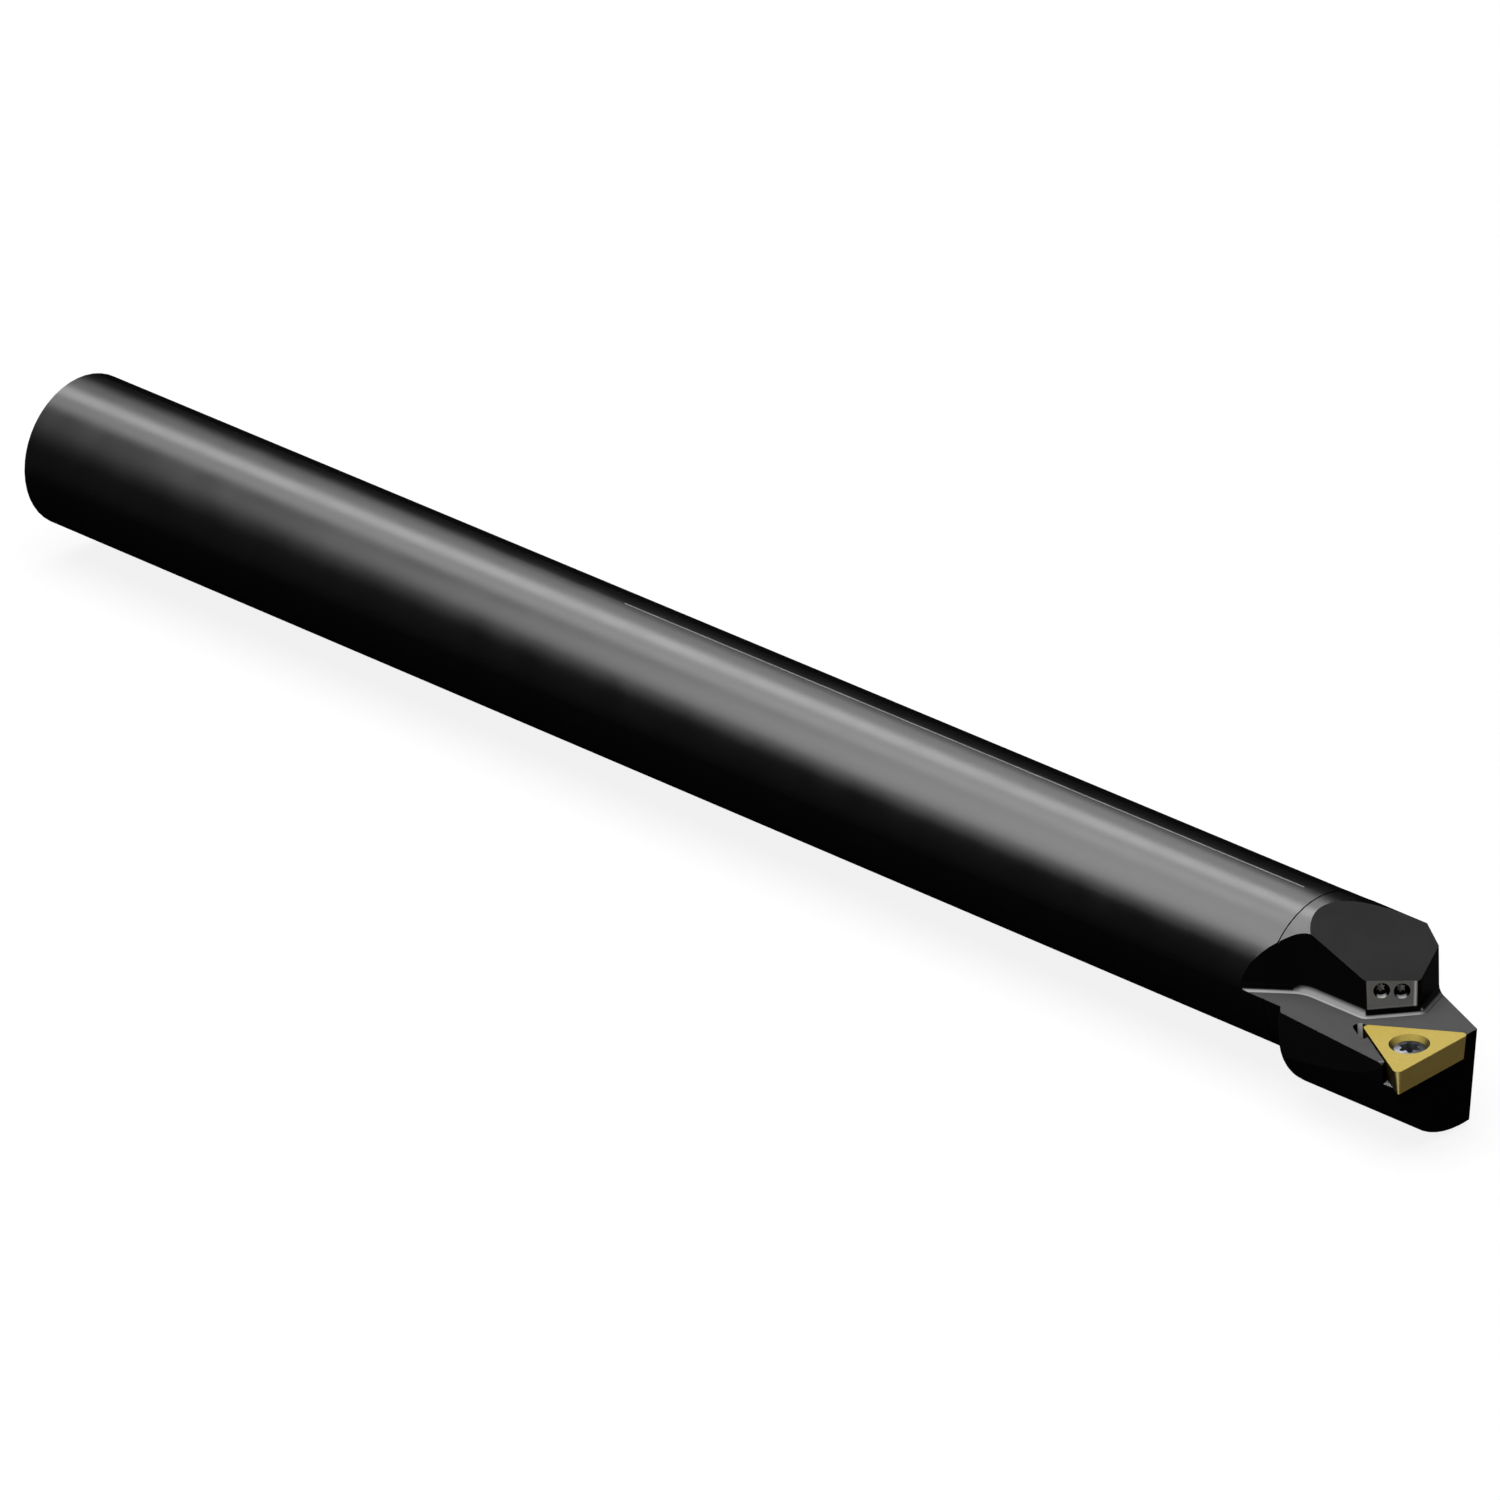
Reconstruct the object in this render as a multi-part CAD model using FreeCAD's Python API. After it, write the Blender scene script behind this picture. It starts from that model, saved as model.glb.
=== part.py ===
import FreeCAD, Part
import math
import os

from FreeCAD import Placement, Rotation, Vector

# Boring bar, 25 mm round shank, with a screwed-on triangular insert and two coolant nozzles.
# Millimetres. X runs along the bar axis from the rear end to the cutting edge, Z is up (the way
# the cutting edge looks) and the cutting tip is on the -Y side, at centre height (z = 0).

# Bar
shank_diameter = 25.0
overall_length = 300.0       # rear end to the cutting edge
rear_chamfer = 0.6
tip_reach = 17.0             # bar axis to the cutting tip
neck_setback = 34.1          # the ground shank ends here and swells to the head
head_setback = 27.4
head_diameter = 25.18        # left a little larger than the ground shank
ring_setback = 31.25         # fine turned ring, back from the cutting edge
ring_width = 0.25
ring_depth = 0.12
mark_rear = 122.3            # centre line scribed along the top of the shank
mark_gap = 3.85              # end of the scribed line to the ring
mark_width = 0.2
mark_depth = 0.1

# Head lobe: the thicker part that carries the insert, below the pocket floor
lobe_radius = 15.8
lobe_setback = 27.9          # lobe shoulder at centre height, back from the cutting edge
lobe_slant = 13.5            # the shoulder leans back towards the bottom of the bar
lobe_rounding = 3.0
lobe_root = 0.8              # the shoulder starts this far below the shank surface
flank_inset = 0.15           # the tip-side flank leaves the lobe this far inside its radius
flank_setback = 6.0
flank_angle = 4.75           # it runs back towards the axis at this angle

# Rake plane: it passes through the tip and tilts about the bar axis
rake_tilt = 3.5
floor_drop = 0.46            # pocket floor below the rake plane
pocket_fillet = 1.1

# Rib beside the pocket, in the rake plane: setbacks from the cutting edge, insets from the tip
wall_inset = 10.2            # long wall beside the pocket
runout_setback = 28.0        # where the rear wall of the pocket turns along the bar
runout_angle = 35.3
runout_radius = 6.0
facet_setback = 16.1         # start of the nozzle facet
facet_angle = 50.6
facet_length = 8.22
front_wall_angle = 110.0
rib_corner_radius = 0.8
top_flat_setback = 27.8      # the sloping top flat starts here, at the top of the bar
top_flat_angle = 25.1
top_flat_heading = -34.0

# End of the head
front_setback = 1.05         # front face behind the cutting edge
front_relief = 9.0
lead_angle = 91.0            # cutting edge to the bar axis
far_corner_inset = 18.05     # front end of the far-side bevel, from the tip line
far_bevel_angle = 22.2
far_bevel_tilt = 1.8         # it leans outwards towards the bottom

# Insert: triangle, positive flanks, with a countersunk hole
insert_circle = 9.525        # inscribed circle
insert_thickness = 3.97
nose_radius = 0.8
insert_clearance_angle = 7.0
insert_hole = 4.4
insert_hole_mouth = 6.1
cone_half_angle = 30.0       # countersink, shared with the screw head
edge_hone = 0.06             # rounded edge around the rake face

# Insert seat
seat_wall_gap = 0.15         # pocket walls to the insert flanks
opening_setback = 4.85       # the wall beside the insert ends here, short of the tip
opening_inset = 2.8
opening_angle = -74.0
relief_hole_diameter = 2.2   # drilling that clears the rear corner of the insert
relief_slot_width = 1.2      # slot from it along the insert edge
relief_slot_length = 3.0
relief_reach = 1.2           # both reach this far outside the insert edge
relief_depth = 0.4           # below the seat

# Insert screw
screw_diameter = 3.5
screw_length = 8.6           # under the rake plane
screw_hole_depth = 9.6       # under the rake plane
screw_head = 5.2
screw_tip_chamfer = 0.5
seat_clearance = 0.02        # screw head to the countersink
thread_clearance = 0.03      # screw flank to its hole
screw_rim = 0.15             # chamfered rim of the head
screw_crown = 0.25           # rise of the domed head
drive_size = 3.27            # six-lobe socket across the lobes
drive_depth = 1.7
drive_lobe = 0.26            # lobe radius, as a share of half the socket size
drive_waist = 0.72           # radius between the lobes, as the same kind of share
drive_turn = 15.0            # how far the tightened socket stands turned

# Coolant supply
inlet_diameter = 11.445      # G 1/4 thread, core
inlet_thread_diameter = 13.157
inlet_depth = 14.0
gallery_diameter = 6.0
gallery_end_setback = 22.0
gallery_web = 0.5            # radius of the blunt end of its drill point
feed_diameter = 1.6
drill_point_angle = 118.0

# Nozzles in the facet
nozzle_diameter = 2.5
nozzle_first = 2.5           # along the facet from its rear corner
nozzle_pitch = 3.0
nozzle_height = 4.06         # rear nozzle above the pocket floor
nozzle_row_fall = 0.35       # the row runs parallel to the top of the facet
nozzle_recess = 1.05
nozzle_length = 2.6
nozzle_socket = 1.3          # six-lobe socket across the lobes
nozzle_socket_depth = 1.1
nozzle_jet = 0.5
nozzle_rim = 0.15            # chamfer round the ends

BEYOND = 2 * (lobe_radius + tip_reach)    # reach of the cutting solids outside the bar
OVERRUN = 1.0                # and of those that only have to break through a surface
NEAR = 1e-3                  # edges and faces closer than this count as the same

shank_radius = shank_diameter / 2
AXIS = Vector(1, 0, 0)
# The rake frame: first axis along the bar, second one inwards from the tip, third one out of the face
RAKE = Placement(Vector(0, -tip_reach, 0), Rotation(AXIS, rake_tilt))


def setback(distance):
    """Place along the bar, measured back from the cutting edge."""
    return overall_length - distance


def heading(angle):
    """Unit vector in the rake plane, at an angle to the bar axis."""
    return Vector(math.cos(math.radians(angle)), math.sin(math.radians(angle)), 0)


def block_beyond(point, outward):
    """Large block whose near face passes through the point and looks away from outward."""
    block = Part.makeBox(2 * BEYOND, 2 * BEYOND, 2 * BEYOND, Vector(-BEYOND, -BEYOND, 0))
    block.Placement = Placement(point, Rotation(Vector(0, 0, 1), outward))
    return block


def rounded_outline(corners, radii):
    """Closed wire through flat corners, each rounded by its own radius (0 leaves it sharp)."""
    count = len(corners)
    starts = []
    ends = []
    for index, corner in enumerate(corners):
        before = (corners[index - 1] - corner).normalize()
        after = (corners[(index + 1) % count] - corner).normalize()
        tangent = radii[index] / math.tan(before.getAngle(after) / 2)
        starts.append(corner + before * tangent)
        ends.append(corner + after * tangent)
    edges = []
    for index, corner in enumerate(corners):
        if radii[index] > 0:
            middle = (starts[index] + ends[index]) / 2
            inwards = (middle - corner).normalize()
            tangent = (starts[index] - corner).Length
            crown = math.hypot(tangent, radii[index]) - radii[index]
            arc = Part.Arc(starts[index], corner + inwards * crown, ends[index])
            edges.append(arc.toShape())
        edges.append(Part.makeLine(ends[index], starts[(index + 1) % count]))
    return Part.Wire(edges)


def edges_at_height(shape, height, keep):
    """Edges that lie flat at one height and whose middle passes a test."""
    chosen = []
    for edge in shape.Edges:
        box = edge.BoundBox
        flat = box.ZMax - box.ZMin < NEAR and abs(box.ZMin - height) < NEAR
        if flat and keep(edge.valueAt((edge.FirstParameter + edge.LastParameter) / 2)):
            chosen.append(edge)
    return chosen


# Insert geometry in the rake plane, shared by the insert, its seat and its screw
tip_heading = lead_angle + 210.0
nose_offset = insert_circle - 2 * nose_radius
nose_centre = Vector(overall_length - nose_radius, nose_radius, 0)
insert_centre = nose_centre - heading(tip_heading) * nose_offset
flank_shift = insert_thickness * math.tan(math.radians(insert_clearance_angle))


def insert_corners(growth, height):
    """Sharp corners of the triangle (tip, inner front, rear), grown outwards, at a height."""
    reach = insert_circle + 2 * growth
    return [insert_centre + heading(tip_heading + turn) * reach + Vector(0, 0, height)
            for turn in (0, 120, 240)]


def insert_blank(growth, radius_top, rise):
    """Tapered triangular prism under the rake plane, carried on above it by rise."""
    slope = math.tan(math.radians(insert_clearance_angle))
    upper = rounded_outline(insert_corners(growth + rise * slope, rise),
                            [radius_top + rise * slope] * 3)
    lower = rounded_outline(insert_corners(growth - flank_shift, -insert_thickness),
                            [radius_top - flank_shift] * 3)
    return Part.makeLoft([lower, upper], True, True)


def make_insert():
    """Coated carbide insert: sloping flanks, rounded corners and a countersunk hole."""
    body = insert_blank(0, nose_radius, 0)
    rim = edges_at_height(body, 0, lambda point: True)
    body = body.makeFillet(edge_hone, rim)
    cone_depth = (insert_hole_mouth - insert_hole) / 2 / math.tan(math.radians(cone_half_angle))
    hole = Part.makeCylinder(insert_hole / 2, 3 * insert_thickness,
                             insert_centre - Vector(0, 0, 2 * insert_thickness))
    cone = Part.makeCone(insert_hole / 2, insert_hole_mouth / 2, cone_depth,
                         insert_centre - Vector(0, 0, cone_depth))
    return body.cut(hole.fuse(cone))


def six_lobe_socket(size, depth):
    """Six-lobe drive socket, its mouth at height 0, going down."""
    rounding = drive_lobe * size / 2
    socket = Part.makeCylinder(drive_waist * size / 2, depth)
    for turn in range(6):
        place = heading(60 * turn + drive_turn) * (size / 2 - rounding)
        socket = socket.fuse(Part.makeCylinder(rounding, depth, place))
    socket.translate(Vector(0, 0, -depth))
    return socket.removeSplitter()


def make_insert_screw():
    """Countersunk screw: its cone seats in the insert, its shank goes down into the head."""
    slope = math.tan(math.radians(cone_half_angle))
    mouth = insert_hole_mouth / 2 - seat_clearance / math.cos(math.radians(cone_half_angle))
    head_radius = screw_head / 2
    head_top = -(mouth - head_radius) / slope
    shank = screw_diameter / 2
    neck = head_top - (head_radius - shank) / slope
    rim = Vector(head_radius - 2 * screw_rim, 0, head_top)
    top = Vector(0, 0, head_top + screw_crown)
    dome_radius = (rim.x ** 2 + screw_crown ** 2) / (2 * screw_crown)
    half_angle = math.asin(rim.x / dome_radius) / 2
    between = Vector(dome_radius * math.sin(half_angle), 0,
                     top.z - dome_radius * (1 - math.cos(half_angle)))
    side = Part.makePolygon([
        rim, Vector(head_radius - screw_rim * slope, 0, head_top - screw_rim), Vector(shank, 0, neck),
        Vector(shank, 0, -screw_length + screw_tip_chamfer),
        Vector(shank - screw_tip_chamfer, 0, -screw_length), Vector(0, 0, -screw_length), top])
    dome = Part.Arc(top, between, rim).toShape()
    outline = Part.Wire([dome] + side.Edges)
    screw = Part.Face(outline).revolve(Vector(0, 0, 0), Vector(0, 0, 1), 360)
    socket = six_lobe_socket(drive_size, drive_depth)
    socket.translate(top)
    screw = screw.cut(socket)
    screw.translate(insert_centre)
    return screw


def rib_outline():
    """Pocket outline in plan. Its first seven edges bound the rib: rear wall, bend, long wall,
    corner, nozzle facet, corner, front wall. The others run outside the head."""
    bend = Vector(setback(runout_setback), wall_inset, 0)
    facet_start = Vector(setback(facet_setback), wall_inset, 0)
    facet_end = facet_start + heading(facet_angle) * facet_length
    corners = [bend - heading(runout_angle) * BEYOND / 2, bend, facet_start, facet_end,
               facet_end + heading(front_wall_angle) * BEYOND / 2,
               Vector(overall_length + BEYOND / 2, BEYOND, 0),
               Vector(overall_length + BEYOND / 2, -BEYOND, 0),
               Vector(bend.x - BEYOND / 2, -BEYOND, 0)]
    radii = [0, runout_radius, rib_corner_radius, rib_corner_radius, 0, 0, 0, 0]
    return rounded_outline(corners, radii)


def pocket_cutter():
    """Everything above the pocket floor and outside the rib, with a fillet along the rib's foot."""
    outline = rib_outline()
    cutter = Part.Face(outline).extrude(Vector(0, 0, BEYOND))
    rib_edges = outline.Edges[:7]

    def beside_rib(point):
        return any(edge.distToShape(Part.Vertex(point))[0] < NEAR for edge in rib_edges)
    cutter = cutter.makeFillet(pocket_fillet, edges_at_height(cutter, 0, beside_rib))
    cutter.translate(Vector(0, 0, -floor_drop))
    cutter.Placement = RAKE.multiply(cutter.Placement)
    return cutter


def make_lobe():
    """Thicker lower part of the head: a coaxial cylinder with a slanting 45 degree shoulder."""
    lobe_length = lobe_setback + lobe_radius
    lobe = Part.makeCylinder(lobe_radius, lobe_length, Vector(overall_length - lobe_length, 0, 0), AXIS)
    slant = Rotation(Vector(0, 1, 0), lobe_slant)
    shoulder_face = slant.multVec(Vector(-1, 0, 0))
    lobe = lobe.cut(block_beyond(Vector(setback(lobe_setback + lobe_root), 0, 0), shoulder_face))
    behind_end = [edge for edge in lobe.Edges if edge.BoundBox.XMax < overall_length - NEAR]
    rim = [edge for edge in behind_end if edge.BoundBox.YLength > 2 * lobe_radius - NEAR]
    lobe = lobe.makeChamfer(lobe_radius - shank_radius + lobe_root, rim)
    behind_end = [edge for edge in lobe.Edges if edge.BoundBox.XMax < overall_length - NEAR]
    rim = [edge for edge in behind_end if edge.BoundBox.YLength > 2 * lobe_radius - NEAR]
    lobe = lobe.makeFillet(lobe_rounding, rim)
    above_floor = Part.makeBox(4 * BEYOND, 2 * BEYOND, BEYOND, Vector(0, -BEYOND, -floor_drop))
    above_floor.translate(Vector(overall_length - 2 * BEYOND, 0, 0))
    above_floor.Placement = RAKE.multiply(above_floor.Placement)
    flank_point = Vector(setback(flank_setback), flank_inset - lobe_radius, 0)
    flank = Rotation(Vector(0, 0, 1), -flank_angle).multVec(Vector(0, -1, 0))
    lobe = lobe.cut(above_floor)
    return lobe.cut(block_beyond(flank_point, flank))


def seat_cutter():
    """Insert pocket: floor and two sloping walls, open at the tip, with a drilled corner relief."""
    cutter = insert_blank(seat_wall_gap, nose_radius, OVERRUN)
    corner = Vector(setback(opening_setback), opening_inset, -insert_thickness)
    sides = Part.makePolygon([
        corner, corner + heading(opening_angle) * BEYOND, corner + Vector(BEYOND, -BEYOND, 0),
        corner + Vector(BEYOND, 0, 0), corner])
    opening = Part.Face(sides).extrude(Vector(0, 0, BEYOND))
    along = heading(tip_heading + 30)
    outwards = heading(tip_heading - 60)
    rear_corner = insert_corners(0, 0)[2] - Vector(0, 0, insert_thickness + relief_depth)
    hole_radius = relief_hole_diameter / 2
    slot_radius = relief_slot_width / 2
    slot_start = rear_corner + outwards * (relief_reach - slot_radius)
    slot = Part.makeBox(relief_slot_length, relief_slot_width, BEYOND, Vector(0, -slot_radius, 0))
    slot.Placement = Placement(slot_start, Rotation(Vector(1, 0, 0), along))
    relief = [Part.makeCylinder(hole_radius, BEYOND, rear_corner + outwards * (relief_reach - hole_radius)),
              Part.makeCylinder(slot_radius, BEYOND, slot_start + along * relief_slot_length), slot]
    screw_hole = Part.makeCylinder(screw_diameter / 2 + thread_clearance, screw_hole_depth,
                                   insert_centre - Vector(0, 0, screw_hole_depth))
    cutter = cutter.fuse([opening, screw_hole] + relief)
    cutter.Placement = RAKE.multiply(cutter.Placement)
    return cutter


def nozzle_places():
    """Mouth centre and outward direction of each nozzle hole in the facet."""
    start = Vector(setback(facet_setback), wall_inset, -floor_drop)
    outward = RAKE.Rotation.multVec(heading(facet_angle - 90))
    places = []
    for index in range(2):
        along = heading(facet_angle) * (nozzle_first + index * nozzle_pitch)
        up = Vector(0, 0, nozzle_height - index * nozzle_row_fall)
        places.append((RAKE.multVec(start + along + up), outward))
    return places


def coolant_cutter():
    """Threaded inlet, gallery along the axis and a feed drilling to each nozzle hole."""
    inlet = Part.makeCylinder(inlet_diameter / 2, inlet_depth, Vector(0, 0, 0), AXIS)
    lead_in = (inlet_thread_diameter - inlet_diameter) / 2
    mouth = Part.makeCone(inlet_thread_diameter / 2, inlet_diameter / 2, lead_in, Vector(0, 0, 0), AXIS)
    gallery_end = setback(gallery_end_setback)
    gallery = Part.makeCylinder(gallery_diameter / 2, gallery_end, Vector(0, 0, 0), AXIS)
    point_length = (gallery_diameter / 2 - gallery_web) / math.tan(math.radians(drill_point_angle / 2))
    point = Part.makeCone(gallery_diameter / 2, gallery_web, point_length,
                          Vector(gallery_end, 0, 0), AXIS)
    cutter = inlet.fuse([mouth, gallery, point])
    for mouth_centre, outward in nozzle_places():
        depth = nozzle_recess + nozzle_length + thread_clearance
        start = mouth_centre + outward * nozzle_diameter
        hole = Part.makeCylinder(nozzle_diameter / 2, depth + nozzle_diameter, start, outward * -1)
        hole_end = mouth_centre - outward * depth
        target = Vector(gallery_end - gallery_diameter / 2, 0, 0)
        run = target - hole_end
        feed = Part.makeCylinder(feed_diameter / 2, run.Length, hole_end, run)
        cutter = cutter.fuse([hole, feed])
    return cutter


def mark_cutter():
    """Turned ring round the neck and the centre line scribed along the top of the shank."""
    ring_start = setback(ring_setback) - ring_width / 2
    outer = Part.makeCylinder(shank_radius + OVERRUN, ring_width, Vector(ring_start, 0, 0), AXIS)
    inner = Part.makeCylinder(shank_radius - ring_depth, ring_width, Vector(ring_start, 0, 0), AXIS)
    mark_end = setback(ring_setback) - mark_gap
    line = Part.makeBox(mark_end - mark_rear, mark_width, OVERRUN + mark_depth,
                        Vector(mark_rear, -mark_width / 2, shank_radius - mark_depth))
    return outer.cut(inner), line


def make_bar():
    """The bar itself: shank and head in one piece of black-finished steel."""
    head_radius = head_diameter / 2
    outline = Part.makePolygon([
        Vector(0, 0, 0), Vector(0, shank_radius - rear_chamfer, 0), Vector(rear_chamfer, shank_radius, 0),
        Vector(setback(neck_setback), shank_radius, 0), Vector(setback(head_setback), head_radius, 0),
        Vector(overall_length, head_radius, 0), Vector(overall_length, 0, 0), Vector(0, 0, 0)])
    bar = Part.Face(outline).revolve(Vector(0, 0, 0), AXIS, 360)
    ring, line = mark_cutter()
    bar = bar.cut(ring).cut(line)
    bar = bar.fuse(make_lobe())
    bar = bar.cut(pocket_cutter())

    slope = Rotation(Vector(0, 0, 1), top_flat_heading)
    flat_normal = slope.multVec(Vector(math.sin(math.radians(top_flat_angle)), 0,
                                       math.cos(math.radians(top_flat_angle))))
    bar = bar.cut(block_beyond(Vector(setback(top_flat_setback), 0, shank_radius), flat_normal))

    far_corner = RAKE.multVec(Vector(setback(front_setback), far_corner_inset, -floor_drop))
    bevel = heading(90 - far_bevel_angle)
    bar = bar.cut(block_beyond(far_corner, Rotation(AXIS, far_bevel_tilt).multVec(bevel)))
    relief = Rotation(Vector(0, 1, 0), front_relief).multVec(Vector(1, 0, 0))
    front = Rotation(Vector(0, 0, 1), lead_angle - 90).multVec(relief)
    bar = bar.cut(block_beyond(far_corner, front))

    bar = bar.cut(seat_cutter())
    return bar.cut(coolant_cutter())


def make_nozzle():
    """Hollow threaded nozzle: six-lobe socket in front, jet bore right through. Face at height 0."""
    radius = nozzle_diameter / 2 - thread_clearance
    nozzle = Part.makeCylinder(radius, nozzle_length, Vector(0, 0, -nozzle_length))
    rims = [edge for edge in nozzle.Edges if edge.BoundBox.ZLength < NEAR]
    nozzle = nozzle.makeChamfer(nozzle_rim, rims)
    socket = six_lobe_socket(nozzle_socket, nozzle_socket_depth)
    jet = Part.makeCylinder(nozzle_jet / 2, nozzle_length, Vector(0, 0, -nozzle_length))
    return nozzle.cut(socket.fuse(jet))


def solid_of(shape):
    """The one solid of a piece."""
    shape = shape.removeSplitter()
    if len(shape.Solids) != 1:
        raise ValueError("piece has %d solids" % len(shape.Solids))
    return shape.Solids[0]


pieces = {"bar": make_bar()}
for name, maker in (("insert", make_insert), ("insert_screw", make_insert_screw)):
    piece = maker()
    piece.Placement = RAKE.multiply(piece.Placement)
    pieces[name] = piece
for name, (mouth_centre, outward) in zip(("rear_nozzle", "front_nozzle"), nozzle_places()):
    nozzle = make_nozzle()
    turned = Rotation(Vector(0, 0, 1), outward)
    nozzle.Placement = Placement(mouth_centre - outward * nozzle_recess, turned)
    pieces[name] = nozzle

os.makedirs("parts", exist_ok=True)
for name, shape in pieces.items():
    solid_of(shape).exportStep("parts/" + name + ".step")
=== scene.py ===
import math

import bpy
from mathutils import Matrix, Vector

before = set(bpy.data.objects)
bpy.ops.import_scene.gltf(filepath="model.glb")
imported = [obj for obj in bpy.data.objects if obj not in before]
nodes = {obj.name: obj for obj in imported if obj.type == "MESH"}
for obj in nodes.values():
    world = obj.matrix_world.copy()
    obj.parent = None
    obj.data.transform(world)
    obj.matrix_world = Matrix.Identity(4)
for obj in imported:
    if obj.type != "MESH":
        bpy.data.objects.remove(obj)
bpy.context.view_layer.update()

# The bar: shank and head are turned and milled from one piece of alloy steel, then black-oxidised.
# The shank is ground before that. The flats of the head keep the duller, lighter skin that the
# cutter leaves, and the coolant inlet at the rear end has a tapped thread. Light, shade and
# highlights are also painted into the skin of some flats and roundings of the head.
steel_black = 0.0038
steel_tint = (0.50, 0.50, 0.50, 1)
steel_roughness = 0.32
roughness_spread = 0.02
tone_spread = 0.06                               # share by which the grey varies in soft patches
patch_scale, patch_detail = 140, 3.0
noise_low, noise_high = 0.3, 0.7                 # a noise texture seldom leaves these
milled_grey = 0.097                              # floor of the pocket
# Painted light: the seat's floor is drawn much lighter than the pocket floor, in the insert's shade.
seat_lit_grey = 0.40                                 # floor of the insert's seat
# Painted shade: the top flat is drawn darker than the pocket floor.
top_flat_shaded_grey = 0.033
# Painted light: the facet, and more so its lower edge, are drawn lighter than the pocket floor.
facet_lit_grey = 0.185                               # the flat that holds the nozzles
facet_low_lit_grey = 0.23                            # its lower edge
# Painted highlight along the facet's rounded front edge.
edge_highlight_grey = 0.62                                 # its rounded front edge
# Painted highlight on the rounding at the foot of the pocket's wall.
lip_highlight_grey = 0.47                                  # rounding at the pocket's wall, beside the floor
foot_highlight_grey = 0.40                                 # steeper part of that rounding
# Painted highlight on the lower side of the nozzle holes and on the wall of the relief.
painted_glint_grey = 0.80                                # lit side of the nozzle holes and of the relief
scribed_grey = 0.40
skin_limit = 0.012                               # from this grey on, the surface is a milled one
rake_up = Vector((0.0, -0.06105, 0.99813))       # square to the pocket floor
pocket_floor = 0.00058                           # how far it lies along that direction
floor_margin = 0.0002                            # what still counts as the height of the floor
near_height, clear_height = 0.0007, 0.0012       # near the pocket floor, and clear of it
foot_height = 0.0012                             # of the rounding at the pocket's wall
seat_top, seat_full = -0.001, -0.002             # heights of the insert's seat
facet_foot, facet_full = 0.0010, 0.0012          # heights between which the facet begins
facet_low_full, facet_low_top = 0.0013, 0.0019
facet_out = Vector((0.7727, -0.6335, -0.0387))   # square to the facet
facet_reach = 0.22367                            # how far the facet lies along that direction
recess_depth = 0.0011                            # from the facet to the nozzles
along_facet = Vector((0.6347, 0.7727, 0.0))      # from the facet's rear end to its front edge
facet_end = 0.1826                               # end of the facet, along that direction
facet_fade = 0.0003
edge_start, edge_full = facet_end - 0.0008, facet_end - 0.0004
top_flat_out = Vector((0.3517, -0.2372, 0.9056))
relief_out = Vector((0.72, -0.695, 0.0))         # rear wall of the relief at the insert's corner
relief_x, relief_y = 0.28555, -0.00953
relief_reach = 0.0017
head_start = 0.2645
scribed_start, scribed_end = 0.1223, 0.2649      # of the line along the top of the shank
scribed_half = 0.00013
thread_pitch = 0.001337
thread_end = 0.0135
thread_radius = 0.0062
thread_depth = 0.8                               # millimetres, as the next one
grind_depth = 0.0012
grind_scale, grind_detail = 9000, 1.0
grind_stretch = (1, 0.02, 0.02)                  # the marks run round the bar
millimetre = 0.001


def new_material(name):
    """A material and its tree, shader and texture coordinates."""
    material = bpy.data.materials.new(name)
    material.use_nodes = True
    tree = material.node_tree
    return material, tree, tree.nodes["Principled BSDF"], tree.nodes.new("ShaderNodeTexCoord")


def feed(tree, value, socket):
    """Set a socket to a number, or link another socket to it."""
    if isinstance(value, (int, float)):
        socket.default_value = value
    else:
        tree.links.new(value, socket)


def maths(tree, operation, first, second=0.0):
    """Result of one sum on numbers or sockets."""
    node = tree.nodes.new("ShaderNodeMath")
    node.operation = operation
    feed(tree, first, node.inputs[0])
    feed(tree, second, node.inputs[1])
    return node.outputs["Value"]


def product(tree, *masks):
    """All the masks multiplied: 1 only where every one of them is."""
    result = masks[0]
    for mask in masks[1:]:
        result = maths(tree, "MULTIPLY", result, mask)
    return result


def projected(tree, source, direction):
    """How far a vector output reaches along a direction."""
    node = tree.nodes.new("ShaderNodeVectorMath")
    node.operation = "DOT_PRODUCT"
    node.inputs[1].default_value = direction
    tree.links.new(source, node.inputs[0])
    return node.outputs["Value"]


def facing(tree, normal, direction, partly, fully):
    """1 where the surface looks along a direction, from the cosines of partly and fully."""
    return ramp(tree, projected(tree, normal, direction), partly, fully)


def components(tree, source):
    """The X, Y and Z of a vector output."""
    node = tree.nodes.new("ShaderNodeSeparateXYZ")
    tree.links.new(source, node.inputs["Vector"])
    return node.outputs


def distance(tree, first, second):
    """Length of the line whose two components are given."""
    squares = [maths(tree, "MULTIPLY", value, value) for value in (first, second)]
    return maths(tree, "SQRT", maths(tree, "ADD", *squares))


def ramp(tree, value, start, end, low=0.0, high=1.0):
    """Steady change from low at start to high at end, level outside them."""
    node = tree.nodes.new("ShaderNodeMapRange")
    feed(tree, value, node.inputs["Value"])
    node.inputs["From Min"].default_value = start
    node.inputs["From Max"].default_value = end
    node.inputs["To Min"].default_value = low
    node.inputs["To Max"].default_value = high
    return node.outputs["Result"]


def grain(tree, source, scale, detail=2.0, stretch=(1, 1, 1)):
    """Fine noise over the surface, drawn out by the stretch along each axis."""
    node = tree.nodes.new("ShaderNodeMapping")
    node.inputs["Scale"].default_value = stretch
    tree.links.new(source, node.inputs["Vector"])
    noise = tree.nodes.new("ShaderNodeTexNoise")
    noise.inputs["Scale"].default_value = scale
    noise.inputs["Detail"].default_value = detail
    tree.links.new(node.outputs["Vector"], noise.inputs["Vector"])
    return noise.outputs["Fac"]


def spread(tree, noise, low, high):
    """Noise turned into a value between low and high."""
    return ramp(tree, noise, noise_low, noise_high, low, high)


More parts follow.
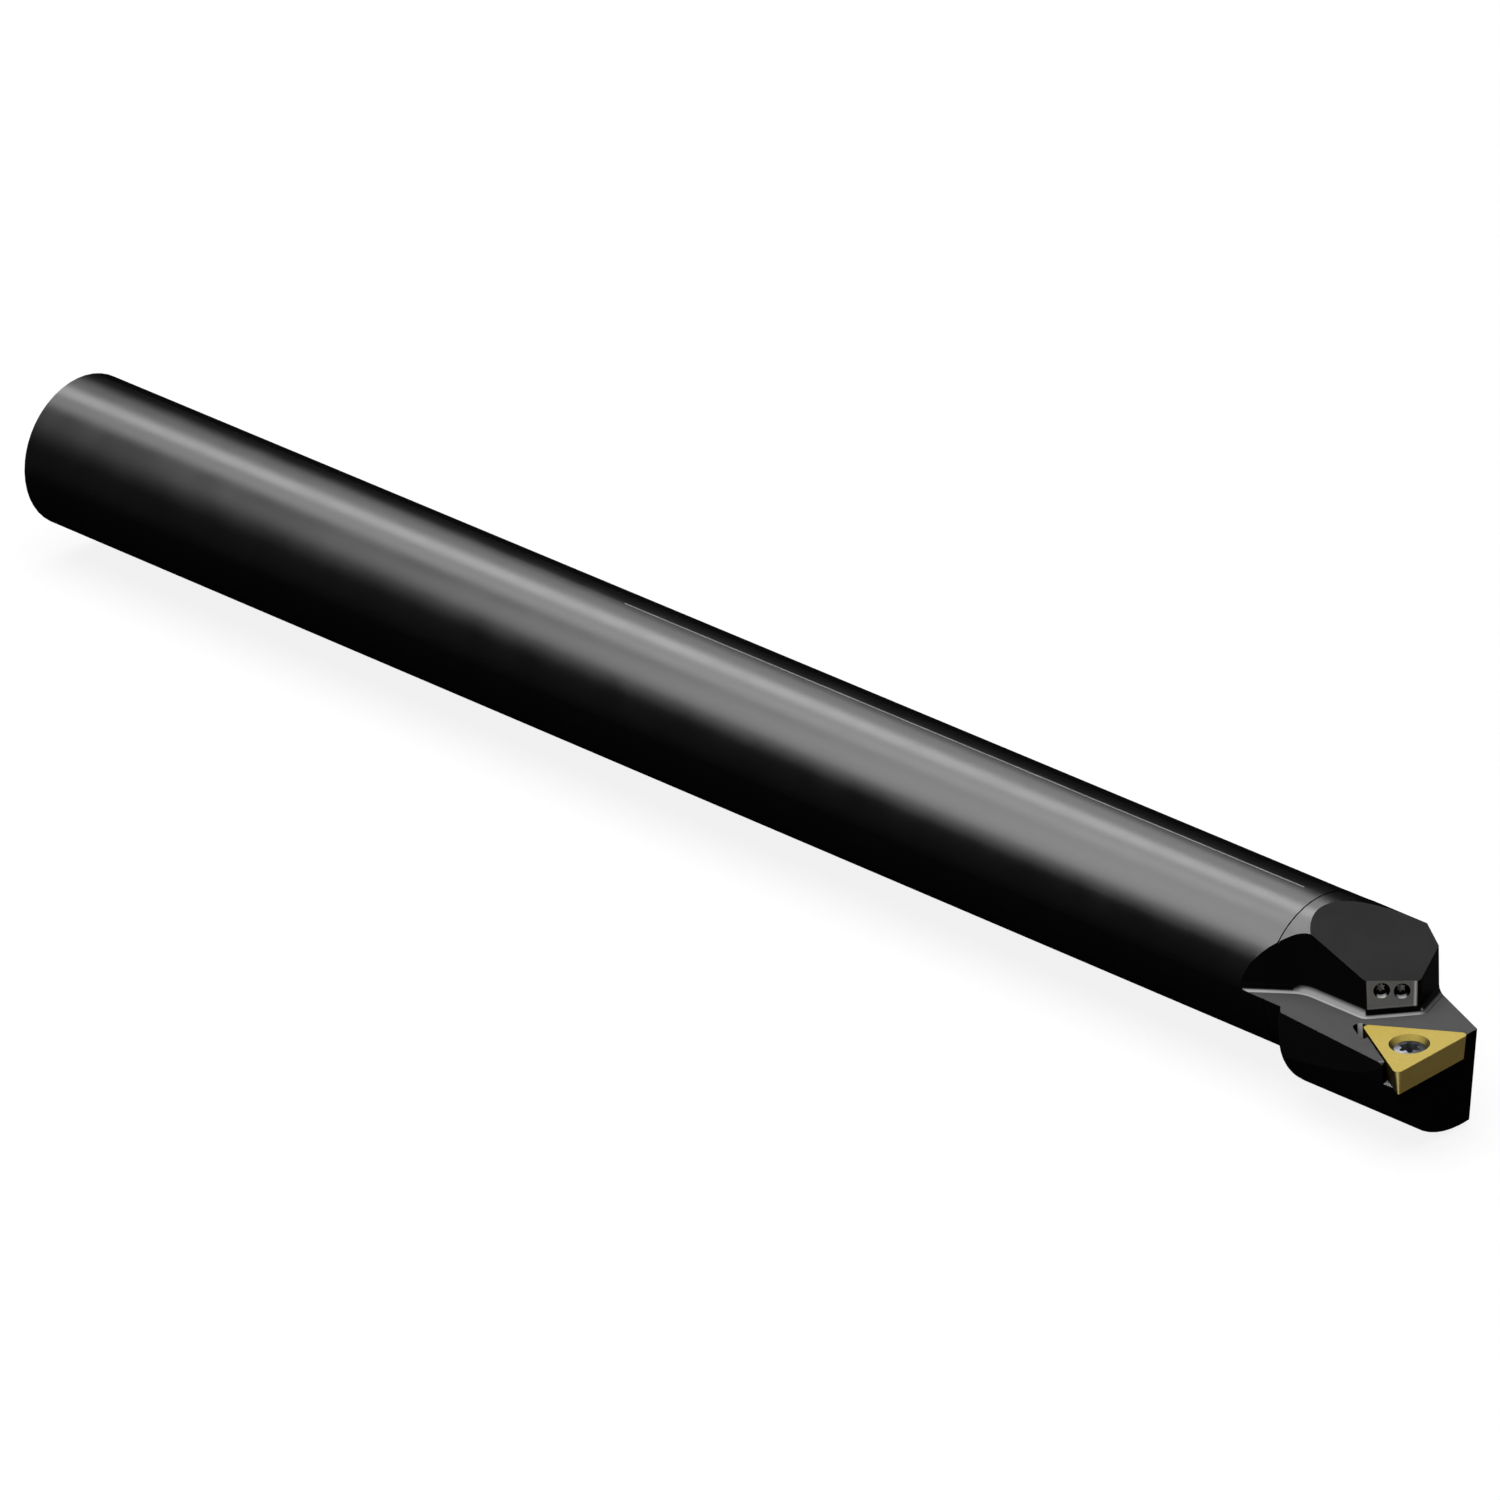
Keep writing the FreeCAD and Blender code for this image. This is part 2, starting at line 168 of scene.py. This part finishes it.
def grey(tree, level):
    """A colour with the same level in all three channels."""
    node = tree.nodes.new("ShaderNodeCombineColor")
    for channel in ("Red", "Green", "Blue"):
        tree.links.new(level, node.inputs[channel])
    return node.outputs["Color"]


def bump(tree, shader, height, unit):
    """Relief of the surface, its height given in the unit."""
    node = tree.nodes.new("ShaderNodeBump")
    node.inputs["Distance"].default_value = unit
    tree.links.new(height, node.inputs["Height"])
    tree.links.new(node.outputs["Normal"], shader.inputs["Normal"])


def dress(node, material):
    """Give a CAD node its material."""
    for slot in nodes[node].material_slots:
        slot.material = material


black_steel, tree, shader, where = new_material("black_steel")
shader.inputs["Specular Tint"].default_value = steel_tint
shader.inputs["Specular IOR Level"].default_value = 0.0
position, normal = where.outputs["Object"], where.outputs["Normal"]
from_rear, across, up = components(tree, position)

# Height over the pocket floor, and how far the surface looks up from that floor, out of the facet
# and, leaving its slope aside, to the cutting side. The slope never gets down to zero.
height = maths(tree, "SUBTRACT", projected(tree, position, rake_up), pocket_floor)
upward = projected(tree, normal, rake_up)
outward = projected(tree, normal, facet_out)
slope = maths(tree, "SQRT", maths(tree, "SUBTRACT", 1.001, maths(tree, "MULTIPLY", upward, upward)))
leftward = maths(tree, "DIVIDE", projected(tree, normal, (0, -1, 0)), slope)
frontward = projected(tree, position, along_facet)

# The milled places of the head, and those where light, shade and highlights are painted.
facet = product(tree, ramp(tree, outward, 0.985, 0.995),
                ramp(tree, height, facet_foot, facet_full),
                ramp(tree, frontward, facet_end, facet_end - facet_fade))
facet_low = product(tree, facet, ramp(tree, height, facet_low_top, facet_low_full))
facet_edge = product(tree, facet, ramp(tree, frontward, edge_start, edge_full))
level = ramp(tree, upward, 0.990, 0.996)
near_floor = ramp(tree, height, clear_height, near_height)
pocket = product(tree, level, near_floor)
seat = product(tree, level, ramp(tree, height, seat_top, seat_full))
top_flat = facing(tree, normal, top_flat_out, 0.992, 0.998)
lip = product(tree, ramp(tree, upward, 0.72, 0.88), ramp(tree, upward, 0.996, 0.975), near_floor,
              ramp(tree, height, -floor_margin, 0.0), ramp(tree, leftward, 0.2, 1.0, 0.2, 1.0))
foot = product(tree, ramp(tree, height, foot_height, foot_height * 0.4),
               ramp(tree, upward, 0.93, 0.80), ramp(tree, height, -0.0001, 0.0001),
               ramp(tree, leftward, 0.88, 0.985))
recesses = product(tree, maths(tree, "GREATER_THAN", height, facet_foot), ramp(tree, outward, 0.3, 0.1),
                   maths(tree, "GREATER_THAN", projected(tree, position, facet_out),
                         facet_reach - recess_depth), ramp(tree, upward, 0.75, 0.95))
from_relief = distance(tree, maths(tree, "SUBTRACT", from_rear, relief_x),
                       maths(tree, "SUBTRACT", across, relief_y))
relief = product(tree, facing(tree, normal, relief_out, 0.92, 0.97),
                 maths(tree, "LESS_THAN", from_relief, relief_reach),
                 maths(tree, "LESS_THAN", height, floor_margin))
# Each place takes its grey: the pocket floor its milled skin, the others painted light, shade or
# highlights.
milled_and_painted_light = 0.0
for place, place_grey in (
        (pocket, milled_grey), (seat, seat_lit_grey), (facet, facet_lit_grey), (facet_low, facet_low_lit_grey),
        (facet_edge, edge_highlight_grey), (top_flat, top_flat_shaded_grey), (lip, lip_highlight_grey), (foot, foot_highlight_grey),
        (recesses, painted_glint_grey), (relief, painted_glint_grey)):
    milled_and_painted_light = maths(tree, "MAXIMUM", milled_and_painted_light, maths(tree, "MULTIPLY", place, place_grey))
milled_and_painted_light = maths(tree, "MULTIPLY", milled_and_painted_light, maths(tree, "GREATER_THAN", from_rear, head_start))
scribed = product(tree, maths(tree, "LESS_THAN", maths(tree, "ABSOLUTE", across), scribed_half),
                  maths(tree, "GREATER_THAN", up, 0.0),
                  maths(tree, "GREATER_THAN", from_rear, scribed_start),
                  maths(tree, "LESS_THAN", from_rear, scribed_end))
milled_and_painted_light = maths(tree, "MAXIMUM", milled_and_painted_light, maths(tree, "MULTIPLY", scribed, scribed_grey))

# The black steel is glossy but for its underside and a strip along its upper far side.
skyward = projected(tree, normal, (0, 0, 1))
farward = projected(tree, normal, (0, 1, 0))
far_strip = product(tree, ramp(tree, farward, 0.0, 0.25), ramp(tree, farward, 0.66, 0.56),
                    ramp(tree, skyward, 0.5, 0.7))
glossy = product(tree, maths(tree, "LESS_THAN", milled_and_painted_light, skin_limit),
                 ramp(tree, skyward, -0.05, 0.30), maths(tree, "SUBTRACT", 1.0, far_strip))
patches = grain(tree, position, patch_scale, patch_detail)
tone = spread(tree, patches, 1 - tone_spread, 1 + tone_spread)
shade = maths(tree, "MULTIPLY", maths(tree, "MAXIMUM", milled_and_painted_light, steel_black), tone)
roughness = spread(tree, patches, steel_roughness - roughness_spread, steel_roughness + roughness_spread)
tree.links.new(grey(tree, shade), shader.inputs["Base Color"])
tree.links.new(glossy, shader.inputs["Metallic"])
tree.links.new(roughness, shader.inputs["Roughness"])

# The thread of the inlet, and the fine marks of grinding that run round the bar.
turn_round = maths(tree, "DIVIDE", maths(tree, "ARCTAN2", up, across), 2 * math.pi)
turns = maths(tree, "ADD", maths(tree, "DIVIDE", from_rear, thread_pitch), turn_round)
in_bore = product(tree, maths(tree, "LESS_THAN", distance(tree, up, across), thread_radius),
                  maths(tree, "LESS_THAN", from_rear, thread_end))
thread = product(tree, maths(tree, "PINGPONG", turns, 0.5), in_bore, 2 * thread_depth)
marks = grain(tree, position, grind_scale, grind_detail, grind_stretch)
ground = maths(tree, "MULTIPLY", marks, grind_depth)
bump(tree, shader, maths(tree, "ADD", thread, ground), millimetre)
dress("bar", black_steel)

# The insert: a sintered and ground carbide triangle with a gold-coloured ceramic coating. Its rake
# face is satin, and the hole is countersunk for the screw. Its flanks and the hole's wall carry
# painted shade, and its nose a painted highlight.
rake_gold = (0.55, 0.42, 0.096)
# Painted shade: the flanks are drawn darker than the rake face.
flank_shaded_gold = (0.38, 0.275, 0.080)
# Painted highlight along the nose.
nose_highlight_gold = (0.95, 0.80, 0.30)
shaded_gold = (0.008, 0.0065, 0.002)
# Painted shade on the hole's wall, but for the side that faces the tip.
hole_shaded_gold = (0.07, 0.055, 0.018)
gloss_tint = (1.0, 0.8, 0.35, 1)
gloss_level = 0.003
nose_out = Vector((0.60, -0.79, -0.12))
hidden_flank_out = Vector((-0.48, -0.87, -0.12))  # the flank that faces the wall of its seat
hole_rear = Vector((0.64, -0.64, 0.42))          # the side of the hole's wall that faces the tip
hole_x, hole_y = 0.29512, -0.00930
hole_reach = 0.00315
coating_tone = (0.95, 1.05)
coating_roughness = (0.42, 0.52)
speckle_scale = 2600
speckle_depth = 0.000006


def blend(tree, factor, first, second):
    """Mix of two colours, each a plain colour or a socket."""
    node = tree.nodes.new("ShaderNodeMixRGB")
    tree.links.new(factor, node.inputs["Fac"])
    for value, socket in ((first, node.inputs["Color1"]), (second, node.inputs["Color2"])):
        if isinstance(value, tuple):
            socket.default_value = (*value, 1)
        else:
            tree.links.new(value, socket)
    return node.outputs["Color"]


coated_carbide, tree, shader, where = new_material("coated_carbide")
shader.inputs["Specular IOR Level"].default_value = gloss_level
shader.inputs["Specular Tint"].default_value = gloss_tint
position, normal = where.outputs["Object"], where.outputs["Normal"]
from_rear, across = components(tree, position)[:2]
upward = projected(tree, normal, rake_up)
# Painted shade on the flanks, darker on the one by the seat's wall, and a painted highlight on the nose.
skin = blend(tree, ramp(tree, upward, 0.3, 0.8), flank_shaded_gold, rake_gold)
skin = blend(tree, facing(tree, normal, hidden_flank_out, 0.6, 0.95), skin, shaded_gold)
skin = blend(tree, facing(tree, normal, nose_out, 0.93, 0.99), skin, nose_highlight_gold)
# The hole's wall: painted shade, but lit gold on the side that faces the tip.
wall = blend(tree, facing(tree, normal, hole_rear, 0.45, 0.95), hole_shaded_gold, rake_gold)
from_hole = distance(tree, maths(tree, "SUBTRACT", from_rear, hole_x),
                     maths(tree, "SUBTRACT", across, hole_y))
in_hole = product(tree, maths(tree, "LESS_THAN", from_hole, hole_reach), ramp(tree, upward, 0.95, 0.90))
skin = blend(tree, in_hole, skin, wall)
speckle = grain(tree, position, speckle_scale)
fleck = tree.nodes.new("ShaderNodeHueSaturation")
tree.links.new(spread(tree, speckle, *coating_tone), fleck.inputs["Value"])
tree.links.new(skin, fleck.inputs["Color"])
tree.links.new(fleck.outputs["Color"], shader.inputs["Base Color"])
tree.links.new(spread(tree, speckle, *coating_roughness), shader.inputs["Roughness"])
bump(tree, shader, speckle, speckle_depth)
dress("insert", coated_carbide)

# The insert screw: hardened and blued steel, turned, with a domed countersunk head and a six-lobe
# socket. The walls of the socket are duller than the head, and painted lighter than it for light.
screw_head = (0.011, 0.0115, 0.0125)
# Painted light: the socket's walls are drawn lighter than the head.
lit_socket_wall = (0.07, 0.072, 0.08)
screw_roughness = (0.30, 0.42)
turned_scale = 1800
turned_depth = 0.000004

screw_steel, tree, shader, where = new_material("screw_steel")
shader.inputs["Specular Tint"].default_value = steel_tint
wall = facing(tree, where.outputs["Normal"], rake_up, 0.4, 0.2)
tree.links.new(maths(tree, "SUBTRACT", 1.0, wall), shader.inputs["Metallic"])
tree.links.new(blend(tree, wall, screw_head, lit_socket_wall), shader.inputs["Base Color"])
turned = grain(tree, where.outputs["Object"], turned_scale)
tree.links.new(spread(tree, turned, *screw_roughness), shader.inputs["Roughness"])
bump(tree, shader, turned, turned_depth)
dress("insert_screw", screw_steel)

# The two nozzles: small hollow set screws of dark steel, turned into the facet beside the pocket,
# each with a six-lobe socket in front and the jet bored through it. The floor and the lower side
# of the socket are matt, with painted light on them.
nozzle_dark = (0.004, 0.004, 0.0045)
# Painted light on the floor and lower side of the sockets.
socket_painted_light = (0.80, 0.80, 0.82)
nozzle_roughness = (0.26, 0.36)
socket_reach = facet_reach - 0.0017              # the floor of the sockets lies deeper than this

nozzle_steel, tree, shader, where = new_material("nozzle_steel")
shader.inputs["Specular Tint"].default_value = steel_tint
deep = maths(tree, "LESS_THAN", projected(tree, where.outputs["Object"], facet_out), socket_reach)
lower_side = facing(tree, where.outputs["Normal"], rake_up, 0.4, 0.7)
matt = maths(tree, "MAXIMUM", deep, lower_side)
tree.links.new(maths(tree, "SUBTRACT", 1.0, matt), shader.inputs["Metallic"])
tree.links.new(blend(tree, matt, nozzle_dark, socket_painted_light), shader.inputs["Base Color"])
turned = grain(tree, where.outputs["Object"], turned_scale)
tree.links.new(spread(tree, turned, *nozzle_roughness), shader.inputs["Roughness"])
for name in ("rear_nozzle", "front_nozzle"):
    dress(name, nozzle_steel)

# The floor: a wide pale matt sheet just under the bar. The camera and the glossy surfaces see it
# as white, and it keeps the bar's faint shadow.
floor_size = 40
floor_place = (0.15, 0, -0.0165)
floor_albedo = 0.16
floor_roughness = 0.9
floor_glow = 0.86
bpy.ops.mesh.primitive_plane_add(size=floor_size, location=floor_place)
floor = bpy.context.object
floor.name = "floor"
paint, tree, coat = new_material("floor")[:3]
coat.inputs["Base Color"].default_value = (floor_albedo, floor_albedo, floor_albedo, 1)
coat.inputs["Roughness"].default_value = floor_roughness
coat.inputs["Specular IOR Level"].default_value = 0.0
path = tree.nodes.new("ShaderNodeLightPath")
seen = maths(tree, "MAXIMUM", path.outputs["Is Camera Ray"], path.outputs["Is Glossy Ray"])
seen = maths(tree, "MAXIMUM", seen, path.outputs["Is Transmission Ray"])
glow = tree.nodes.new("ShaderNodeEmission")
tree.links.new(maths(tree, "MULTIPLY", seen, floor_glow), glow.inputs["Strength"])
both = tree.nodes.new("ShaderNodeAddShader")
tree.links.new(coat.outputs["BSDF"], both.inputs[0])
tree.links.new(glow.outputs["Emission"], both.inputs[1])
tree.links.new(both.outputs["Shader"], tree.nodes["Material Output"].inputs["Surface"])
floor.data.materials.append(paint)

# The studio: weak light all round, and an overhead and a side light that only lighten matt
# surfaces. The other soft boxes show only as highlights: five draw the long ones on the shank,
# two of them for views from its far side, and a small one stands near the head.
world_strength = 0.15
world = bpy.data.worlds.new("studio")
bpy.context.scene.world = world
world.use_nodes = True
background = world.node_tree.nodes["Background"]
background.inputs["Color"].default_value = (1, 1, 1, 1)
background.inputs["Strength"].default_value = world_strength


def softbox(name, aim, azimuth, elevation, away, angle, radiance, gloss):
    """Round soft light some way away from the aim, angle wide as seen from there."""
    azimuth, elevation = math.radians(azimuth), math.radians(elevation)
    towards = Vector((math.cos(elevation) * math.cos(azimuth), math.cos(elevation) * math.sin(azimuth),
                      math.sin(elevation)))
    lamp = bpy.data.lights.new(name, "AREA")
    lamp.shape = "DISK"
    lamp.size = 2 * away * math.tan(math.radians(angle) / 2)
    lamp.energy = radiance * math.pi * math.pi * lamp.size ** 2 / 4
    box = bpy.data.objects.new(name, lamp)
    bpy.context.collection.objects.link(box)
    box.location = Vector(aim) + away * towards
    box.rotation_euler = towards.to_track_quat("Z", "Y").to_euler()
    box.visible_camera = False
    box.visible_diffuse = not gloss
    box.visible_glossy = gloss


middle, tip = (0.15, 0, 0), (0.30, 0, 0)
for name, aim, azimuth, elevation, away, angle, radiance, gloss in (
        ("overhead", middle, -90, 80, 3, 60, 3.2, False),
        ("side", middle, -80, 20, 3, 40, 1.6, False),
        ("rear", middle, 162.4, 48.8, 4, 16, 208.0, True),
        ("rear_left", middle, -168.6, 52.7, 4, 14, 158.0, True),
        ("far", middle, 139.4, 40.0, 4, 14, 130.0, True),
        ("front", middle, 39.4, 34.0, 4, 16, 140.0, True),
        ("behind", middle, 90.0, 50.0, 4, 16, 60.0, True),
        ("left", tip, -141, 37.5, 0.6, 34, 80.0, True)):
    softbox(name, aim, azimuth, elevation, away, angle, radiance, gloss)

# The camera: a long lens that looks down at the head from its front left corner. Its place and
# turn are those at which the bar's edges lie as in the photograph.
camera_place = Vector((1.7892218, -1.6454897, 1.0752843))
camera_right = Vector((0.7075646, 0.7066447, 0.0023564))
camera_down = Vector((0.2990943, -0.2964592, -0.9070031))
camera_ahead = Vector((-0.6402304, 0.642468, -0.4211174))
lens = bpy.data.cameras.new("camera")
lens.sensor_width = 36
lens.lens = 403.81
camera = bpy.data.objects.new("camera", lens)
bpy.context.collection.objects.link(camera)
turn = Matrix((camera_right, -camera_down, -camera_ahead)).transposed()
camera.matrix_world = Matrix.Translation(camera_place) @ turn.to_4x4()
bpy.context.scene.camera = camera
bpy.context.scene.view_settings.view_transform = "Standard"
